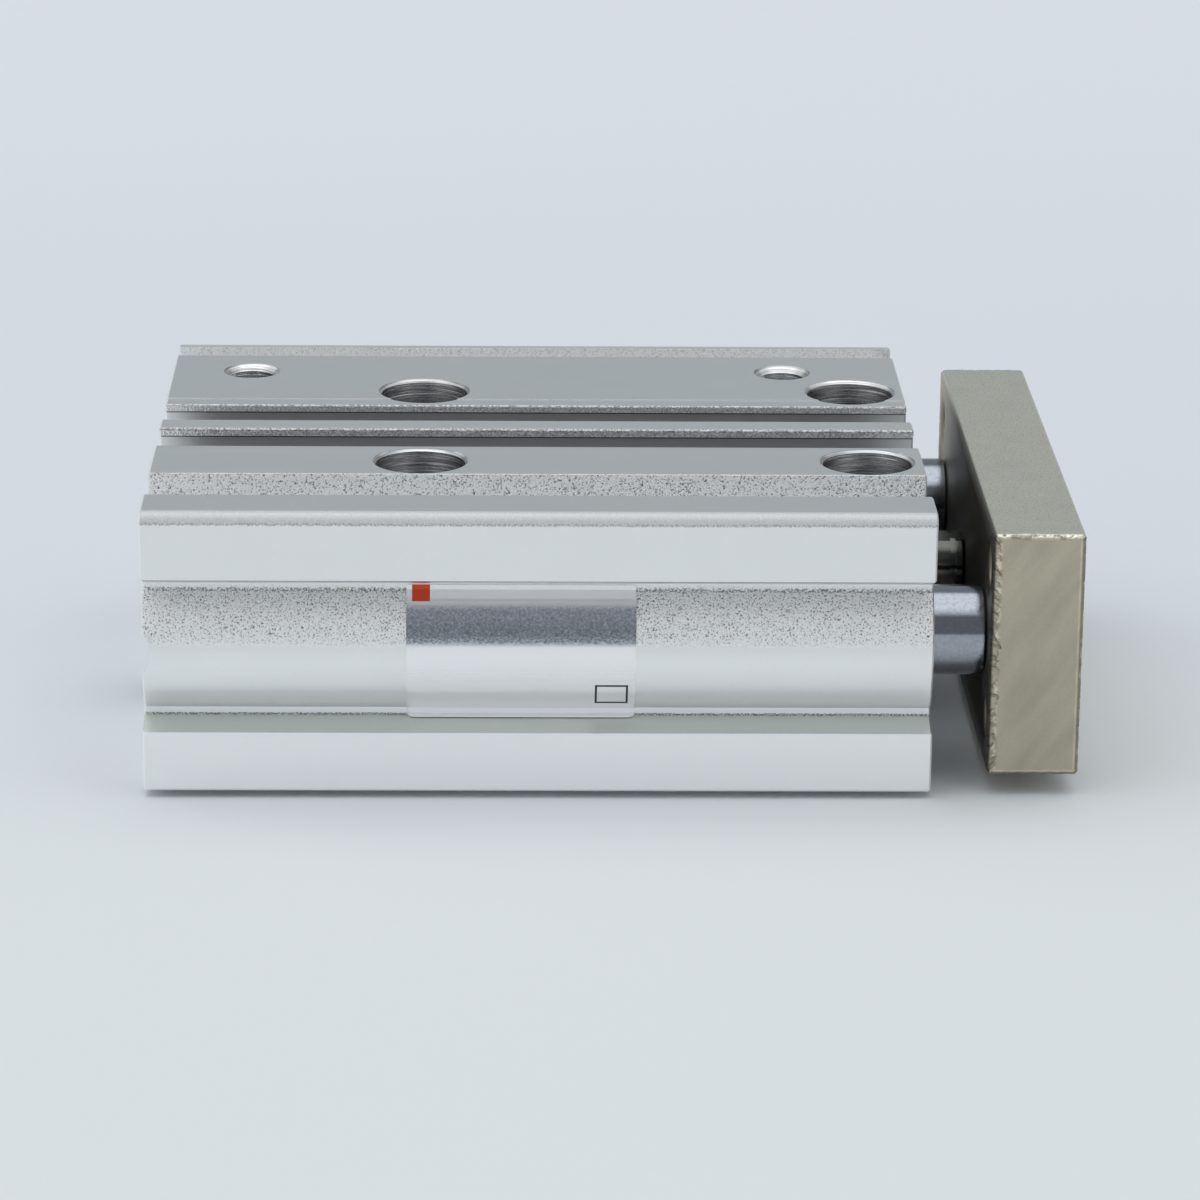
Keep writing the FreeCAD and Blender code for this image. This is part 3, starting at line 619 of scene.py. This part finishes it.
def nickel_plate():
    f = nickel
    on_top = f.z.rise(plate_high.z - 0.3, plate_high.z - 0.1)
    on_end = abs(f.y).rise(plate_high.y - 0.3, plate_high.y - 0.1)
    facing_body = f.x.rise(plate_low.x + 0.3, plate_low.x + 0.1)
    chipped = on_end * f.x.rise(plate_low.x + 0.9, plate_low.x + 0.5)
    chipped = chipped.most(on_end * f.z.rise(plate_high.z - 0.5, plate_high.z - 0.25))

    clouds = f.grain(5.0, 2.0, (0.5, 0.5, 1.4))
    wiped = {"Vector": f.mm, "Rotation": (0.0, WIPE_ANGLE, 0.0), "Scale": (1.0, 1.0, 5.0)}
    wipes = f.node("ShaderNodeMapping", {"vector_type": "TEXTURE"}, wiped)
    streaks = f.node("ShaderNodeTexNoise", None, {"Vector": wipes, "Scale": 0.6, "Detail": 3.0})
    speck = f.grain(0.25, 3.0)
    pits = f.grain(0.2, 1.0).rise(0.42, 0.34)
    flakes = f.grain(0.8, 2.0).rise(0.4, 0.6)

    # Painted shade darkens the side facing the body, but for its far upper corner
    unshaded_corner = f.y.rise(5.0, 25.0) * f.z.rise(8.0, 24.0)
    shade = 1.0 + (clouds - 0.5) * 0.12 + (streaks - 0.5) * on_end * 0.42 + (speck - 0.5) * 0.22
    shade = shade * (1.0 - on_top * pits * 0.3)
    shade = shade * (1.0 - facing_body * (0.85 - unshaded_corner * 0.85))
    shade = shade * (1.0 + chipped * (flakes * 0.8 - 0.3))

    # Painted highlights as thin light lines inside two edges of the narrow ends, painted shade in
    # strips outside them, and the whole plate a little darker towards the bottom
    highlight_x = abs(f.x - (plate_high.x - LINE_IN)).rise(LINE_WIDTH[1], LINE_WIDTH[0])
    highlight_z = abs(f.z - (plate_low.z + LINE_UP)).rise(LINE_WIDTH[1], LINE_WIDTH[0])
    shade = shade + highlight_x.most(highlight_z) * on_end * (0.15 + flakes * 0.15)
    outside = f.x.rise(plate_high.x - 0.33, plate_high.x - 0.25)
    outside = outside.most(f.z.rise(plate_low.z + 0.24, plate_low.z + 0.18))
    shade = shade * (1.0 - outside * on_end * 0.45) * (0.95 + f.z * 0.004)

    # Painted light and shade: the top gets a lighter nickel than the narrow ends
    f.set("Base Color", f.tint(f.mix(on_top, SHADED_END_NICKEL, LIT_TOP_NICKEL), shade))
    f.set("Metallic", 1.0 - facing_body * 0.4)
    f.set("Roughness", 0.46 + speck * 0.1)
    f.bump(speck + f.grain(1.2, 2.0) + chipped * flakes * 3.0, 0.012)


nickel_plate()
WEAR = {-1: 1.0, 1: 0.4}    # how badly the front and the back end are chipped
plate_work = merged_copy("end_plate")
for end, wear in WEAR.items():
    uneven_end(plate_work, end, wear)
plate = piece_of("end_plate_chipped", plate_work, nickel, 28.0)
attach(plate, "slide_unit")
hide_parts("end_plate")
coat(nickel, "end_plate")

# ---------------------------------------------------------------------------
# Plate screws
# Socket head screws of plated alloy steel hold the plate to the two guide rods and the piston rod.
# Their heads lie in recesses in its outer face.
# ---------------------------------------------------------------------------

screw_steel = Finish("plated_screw_steel", (0.22, 0.22, 0.23), 1.0, 0.32)
screw_steel.set("Roughness", 0.26 + screw_steel.grain(0.4) * 0.15)
coat(screw_steel, "piston_rod_screw", "guide_rod_screws")

# ---------------------------------------------------------------------------
# Nameplate label
# A thin silvered film pressed over the bulge of the front side, with rounded lower corners. A red
# tab and an empty frame are printed on it.
# ---------------------------------------------------------------------------

label_low, label_high = (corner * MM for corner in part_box("nameplate_label"))
FILM_CORNER = 0.65     # radius of the two lower corners
FILM_GAUGE = 0.07
FILM_STAND = 0.08      # how far its outer face stands off the metal
FILM_FOOT = 0.57       # how far it reaches over the lower slant
WALL_DEPTH = 2.6       # of the recess between the flat bands
BULGE_RADIUS = 8.0
LEDGE_DROP = 5.895     # from the rod's axis to the ledge
SLANT_FALL = 1 / 2.6
BULGE_STEPS = 40
CORNER_STEPS = 8
MIDDLE_STEPS = 12
SQUEEZE = 0.3          # how far above the last bend the corners begin to draw the points in


def film_profile():
    """The film's outer face as (y, z, distance along it), from its top edge down."""
    rod_low, rod_high = (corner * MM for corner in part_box("guide_rod_front"))
    rod = (rod_low + rod_high) / 2
    radius = BULGE_RADIUS + FILM_STAND
    skin = body_low.y + WALL_DEPTH - FILM_STAND
    swing = math.acos((rod.y - skin) / radius)
    points = [(skin, label_high.z), (skin, rod.z + radius * math.sin(swing) + FILM_STAND)]
    for step in range(BULGE_STEPS + 1):
        angle = swing * (1 - 2 * step / BULGE_STEPS)
        points.append((rod.y - radius * math.cos(angle), rod.z + radius * math.sin(angle)))
    ledge = rod.z - LEDGE_DROP
    points += [(skin, ledge), (skin - FILM_FOOT, ledge - FILM_FOOT * SLANT_FALL)]
    travelled = 0.0
    profile = [(*points[0], 0.0)]
    for here, after in zip(points, points[1:]):
        travelled += math.dist(here, after)
        profile.append((*after, travelled))
    return profile


def film_point(profile, distance):
    """The point at a distance along the profile."""
    for (y0, z0, d0), (y1, z1, d1) in zip(profile, profile[1:]):
        if distance <= d1 + 1e-9:
            share = (distance - d0) / (d1 - d0)
            return y0 + (y1 - y0) * share, z0 + (z1 - z0) * share
    return profile[-1][:2]


silver = Finish("silver_film", (0.82, 0.84, 0.87), 0.85, 0.24)
FILM_SILVER = (0.97, 0.97, 0.975)
REFLECTION_SILVER = (0.86, 0.92, 1.0)
TAB_RED = (0.72, 0.055, 0.008)
INK = (0.02, 0.02, 0.025)
TAB_X = (0.48, 2.05)              # in from the label's left edge
TAB_FOOT = 17.55
FRAME_IN = 2.1                    # from its right edge to the frame's middle
FRAME_Z = 9.2
FRAME_OUTER = (1.45, 1.01)        # half width and half height
FRAME_INNER = (1.26, 0.83)
PAINTED_REFLECTION_BAND = (14.0, 17.1)          # the painted dark reflection across its upper half


def silver_film():
    f = silver
    tab = f.x.within(label_low.x + TAB_X[0], label_low.x + TAB_X[1], 0.02)
    tab = tab * f.z.rise(TAB_FOOT - 0.02, TAB_FOOT + 0.02)
    frame_x = abs(f.x - (label_high.x - FRAME_IN))
    frame_z = abs(f.z - FRAME_Z)
    outside = frame_x.rise(FRAME_OUTER[0] - 0.01, FRAME_OUTER[0] + 0.01)
    outside = outside.most(frame_z.rise(FRAME_OUTER[1] - 0.01, FRAME_OUTER[1] + 0.01))
    inside = frame_x.rise(FRAME_INNER[0] + 0.01, FRAME_INNER[0] - 0.01)
    inside = inside * frame_z.rise(FRAME_INNER[1] + 0.01, FRAME_INNER[1] - 0.01)
    ink = (1.0 - outside) * (1.0 - inside)
    printed = tab.most(ink)

    grit = f.grain(0.2, 1.0)
    # Painted reflection: a dark, bluish band across the upper half, darker towards its foot, with
    # grain in it
    band = f.z.within(*PAINTED_REFLECTION_BAND, 0.3)
    shade = 1.0 + band * ((grit - 0.5) * 0.9 - 0.22 - f.z.rise(16.5, 14.2) * 0.3)
    colour = f.mix(tab, f.mix(band, FILM_SILVER, REFLECTION_SILVER), TAB_RED)
    colour = f.mix(ink, colour, INK)
    f.set("Base Color", f.tint(colour, shade * (1.0 - printed) + printed))
    mirror = f.z.rise(8.0, 13.5) * 0.65 + 0.3 - f.z.rise(17.1, 17.5) * 0.5
    f.set("Metallic", mirror * (1.0 - printed))
    f.set("Roughness", 0.23 + printed * 0.15)
    f.bump(grit * band, 0.012)


silver_film()


def film_columns():
    """The film's x places from left to right, close together at the rounded corners."""
    quarter = math.pi / 2 / CORNER_STEPS
    ends = [FILM_CORNER * (1 - math.cos(quarter * i)) for i in range(CORNER_STEPS)]
    start = label_low.x + FILM_CORNER
    width = label_high.x - label_low.x - 2 * FILM_CORNER
    middle = [start + width * i / MIDDLE_STEPS for i in range(MIDDLE_STEPS + 1)]
    return [label_low.x + e for e in ends] + middle + [label_high.x - e for e in reversed(ends)]


def film_skin(work, profile, depth):
    """One face of the film as columns of points, depth behind its outer face."""
    length, last_bend = profile[-1][2], profile[-2][2]
    squeezed = last_bend - SQUEEZE
    skin = []
    for x in film_columns():
        short = FILM_CORNER - min(FILM_CORNER, x - label_low.x, label_high.x - x)
        drop = FILM_CORNER - math.sqrt(FILM_CORNER**2 - short**2)
        column = []
        for _, _, distance in profile:
            if distance > squeezed:
                share = (distance - squeezed) / (length - squeezed)
                distance = squeezed + share * (length - drop - squeezed)
            y, z = film_point(profile, distance)
            column.append(work.verts.new((x, y + depth, z)))
        skin.append(column)
    return skin


def strip(work, first, second):
    """Faces between two rows of points."""
    for i in range(len(first) - 1):
        work.faces.new((first[i], first[i + 1], second[i + 1], second[i]))


film_work = bmesh.new()
outer, inner = (film_skin(film_work, film_profile(), depth) for depth in (0.0, FILM_GAUGE))
for skin in (outer, inner):
    for first, second in zip(skin, skin[1:]):
        strip(film_work, first, second)
for i in (0, -1):
    strip(film_work, outer[i], inner[i])
    strip(film_work, [column[i] for column in outer], [column[i] for column in inner])
label = piece_of("nameplate_film", film_work, silver, 20.0)
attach(label, "cylinder")
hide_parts("nameplate_label")
coat(silver, "nameplate_label")

# ---------------------------------------------------------------------------
# Floor, lamps and camera
# The part stands on a wide sheet of pale paper. Large soft boxes light it from both sides and from
# above, inside a pale tent that is open and dim in front.
# ---------------------------------------------------------------------------

FLOOR_RADIUS = 4.0
FLOOR_SIDES = 96
PAPER_NEAR = (0.82, 0.845, 0.86)
PAPER_BEHIND = (0.78, 0.81, 0.86)
PAPER_FAR = (0.84, 0.865, 0.89)
floor_mesh = bpy.data.meshes.new("floor")
rim = [(FLOOR_RADIUS * math.cos(a), FLOOR_RADIUS * math.sin(a), 0.0)
       for a in (math.tau * i / FLOOR_SIDES for i in range(FLOOR_SIDES))]
floor_mesh.from_pydata(rim, [], [tuple(range(FLOOR_SIDES))])
floor = bpy.data.objects.new("floor", floor_mesh)
bpy.context.scene.collection.objects.link(floor)
paper = Finish("pale_paper", PAPER_NEAR, 0.0, 0.9, {"Specular IOR Level": 0.2})
paper_behind = paper.mix(paper.y.rise(-60.0, 60.0), PAPER_NEAR, PAPER_BEHIND)
paper.set("Base Color", paper.mix(paper.y.rise(100.0, 350.0), paper_behind, PAPER_FAR))
floor_mesh.materials.append(paper.material)

# What the metal mirrors: a pale horizon, a dim opening in front, soft walls and a bright roof
TENT = {
    "horizon": (0.66, 0.70, 0.76),
    "roof": (1.22, 1.27, 1.30),
    "front": (0.22, 0.23, 0.25),
    "back": (0.31, 0.345, 0.36),
    "sides": (0.38, 0.40, 0.415),
}
world = bpy.data.worlds.new("soft_tent")
bpy.context.scene.world = world
world.use_nodes = True
tent = Tree(world.node_tree)
towards = tent.node("ShaderNodeTexCoord", out="Generated")
across, along, up = (
    tent.node("ShaderNodeSeparateXYZ", None, {"Vector": towards}, axis) for axis in "XYZ"
)


def tent_mix(share, first, second):
    values = {"Factor": share, 6: first, 7: second}
    return tent.node("ShaderNodeMix", {"data_type": "RGBA"}, values, 2)


walls = tent_mix(along.rise(-0.2, -0.5), TENT["sides"], TENT["front"])
walls = tent_mix(along.rise(0.2, 0.5), walls, TENT["back"])
walls = tent_mix(up.rise(0.74, 0.93), walls, TENT["roof"])
walls = tent_mix(up.rise(0.12, 0.01), walls, TENT["horizon"])
tent.feed(world.node_tree.nodes["Background"].inputs["Color"], walls)

TARGET = Vector((0.0, 0.0, 0.013))
# Each box's place and size in metres and its power in watts
SOFT_BOXES = {
    "left_box": ((-1.1, -0.15, 0.62), (2.8, 1.8), 8.4),
    "right_box": ((1.1, -0.15, 0.62), (2.4, 1.8), 4.9),
    "roof_box": ((0.0, 0.1, 1.2), (1.2, 1.2), 1.0),
}
for name, (place, size, power) in SOFT_BOXES.items():
    lamp = bpy.data.lights.new(name, "AREA")
    lamp.shape = "RECTANGLE"
    lamp.size, lamp.size_y = size
    lamp.energy = power
    box = bpy.data.objects.new(name, lamp)
    box.location = place
    box.rotation_euler = (TARGET - box.location).to_track_quat("-Z", "Y").to_euler()
    bpy.context.scene.collection.objects.link(box)

CAMERA_PLACE = Vector((-0.009992, -0.44038, 0.147712))
CAMERA_LENS = 149.33
CAMERA_SENSOR = 36.0
CAMERA_YAW = -1.2249       # degrees
CAMERA_PITCH = 17.4598     # degrees below the horizon
CAMERA_ROLL = 0.5302
lens = bpy.data.cameras.new("camera")
lens.lens = CAMERA_LENS
lens.sensor_width = CAMERA_SENSOR
lens.clip_start = 0.01
lens.clip_end = 20.0
camera = bpy.data.objects.new("camera", lens)
camera.matrix_world = (
    Matrix.Translation(CAMERA_PLACE)
    @ Matrix.Rotation(math.radians(CAMERA_YAW), 4, "Z")
    @ Matrix.Rotation(math.radians(90.0 - CAMERA_PITCH), 4, "X")
    @ Matrix.Rotation(math.radians(CAMERA_ROLL), 4, "Z")
)
bpy.context.scene.collection.objects.link(camera)
bpy.context.scene.camera = camera
bpy.context.scene.view_settings.view_transform = "Standard"
